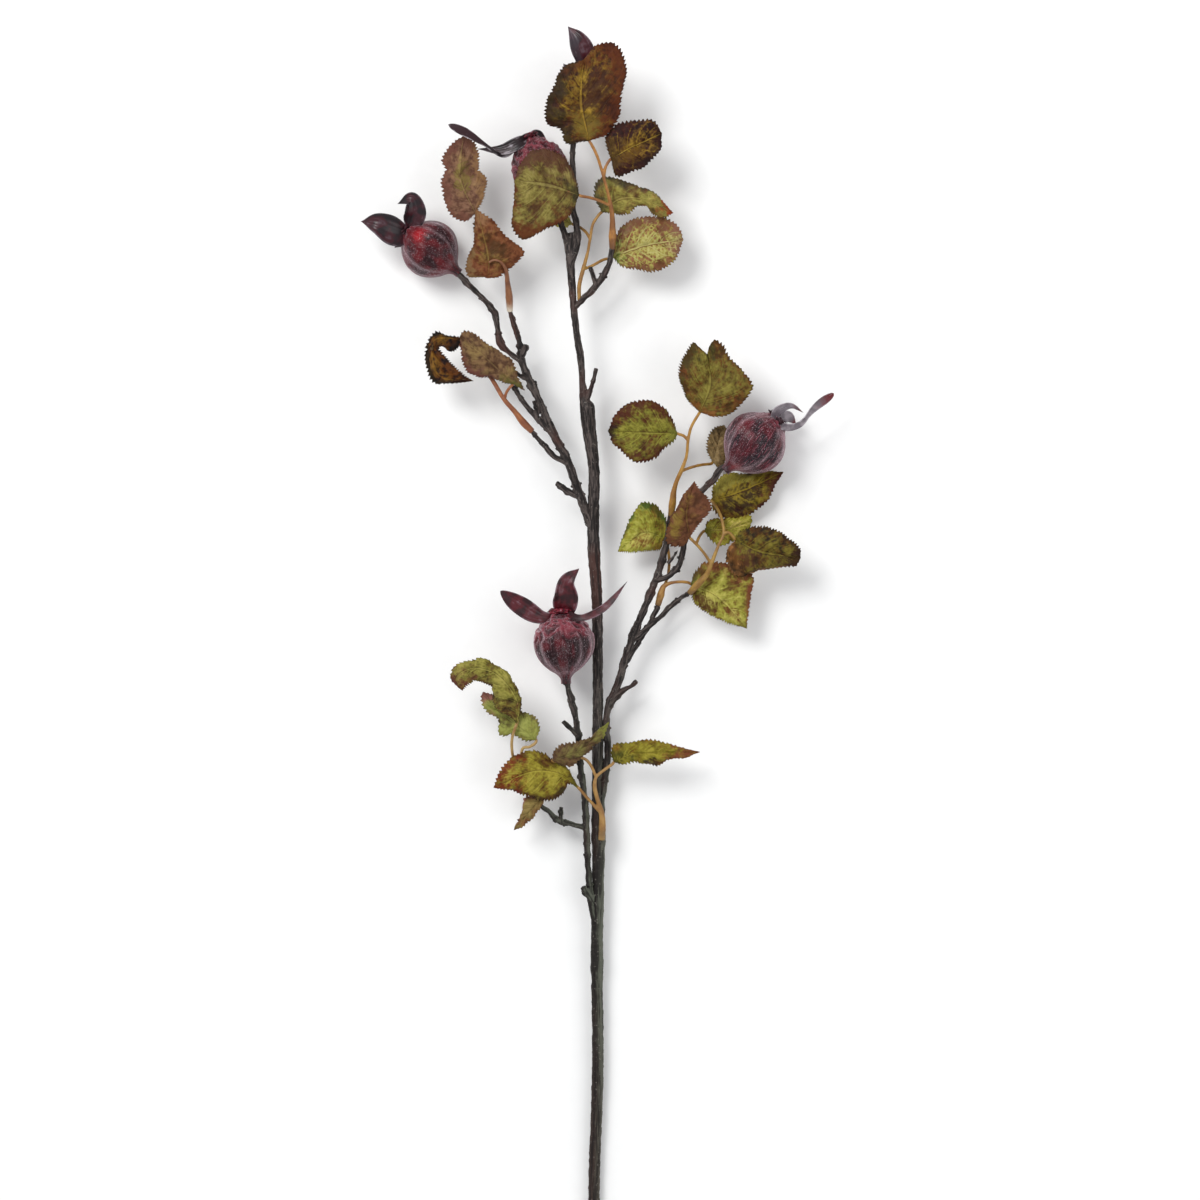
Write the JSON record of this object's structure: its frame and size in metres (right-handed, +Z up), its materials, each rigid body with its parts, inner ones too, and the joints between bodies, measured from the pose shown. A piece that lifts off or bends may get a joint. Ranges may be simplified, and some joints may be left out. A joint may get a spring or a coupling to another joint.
{
  "type": "rose_hip_sprig",
  "caption": "Cut rose hip sprig for decoration: a dark taped stem forks into twigs that carry frosted dark red hips with dried sepals and orange-stalked autumn leaves with toothed edges.",
  "frame": {"origin": "centre of the sprig's outline on the table it lies on, at the table's height", "axes": "+X to the right as the sprig lies with its cut end towards the viewer; +Y along the stem, from the cut end to the topmost hip; +Z up, away from the table"},
  "size_m": [0.3075, 0.8132, 0.0516],
  "materials": {
    "bark": "charcoal brown floral tape and moulded twig, matt, with faint knots and pale flecks",
    "hip": "dark red dried berry with shallow lengthwise ridges and whitish frosted streaks",
    "sepal": "near black maroon moulded sepals with a grey sheen",
    "stalk": "orange brown moulded leaf stalk, satin",
    "leaf": "starched woven fabric leaf printed yellow green, olive, brown and maroon with fine veins"
  },
  "bodies": {
    "root": {"stem_main": "bark", "twig_top": "bark", "twig_left": "bark", "twig_right": "bark", "twig_lower": "bark", "hip_1": "hip", "hip_2": "hip", "hip_3": "hip", "hip_4": "hip", "hip_5": "hip", "calyx_1": "sepal", "calyx_2": "sepal", "calyx_3": "sepal", "calyx_4": "sepal", "calyx_5": "sepal", "stalk_a": "stalk", "stalk_b": "stalk", "stalk_c": "stalk", "stalk_d": "stalk", "stalk_e": "stalk", "stalk_f": "stalk", "stalk_g": "stalk", "stalk_h": "stalk", "stalk_i": "stalk", "leaf_01": "leaf", "leaf_02": "leaf", "leaf_03": "leaf", "leaf_04": "leaf", "leaf_05": "leaf", "leaf_06": "leaf", "leaf_07": "leaf", "leaf_08": "leaf", "leaf_09": "leaf", "leaf_10": "leaf", "leaf_11": "leaf", "leaf_12": "leaf", "leaf_13": "leaf", "leaf_14": "leaf", "leaf_15": "leaf", "leaf_16": "leaf", "leaf_17": "leaf", "leaf_18": "leaf", "leaf_19": "leaf", "leaf_20": "leaf", "leaf_21": "leaf", "leaf_22": "leaf", "leaf_23": "leaf", "leaf_24": "leaf", "leaf_25": "leaf"}
  },
  "joints": []
}
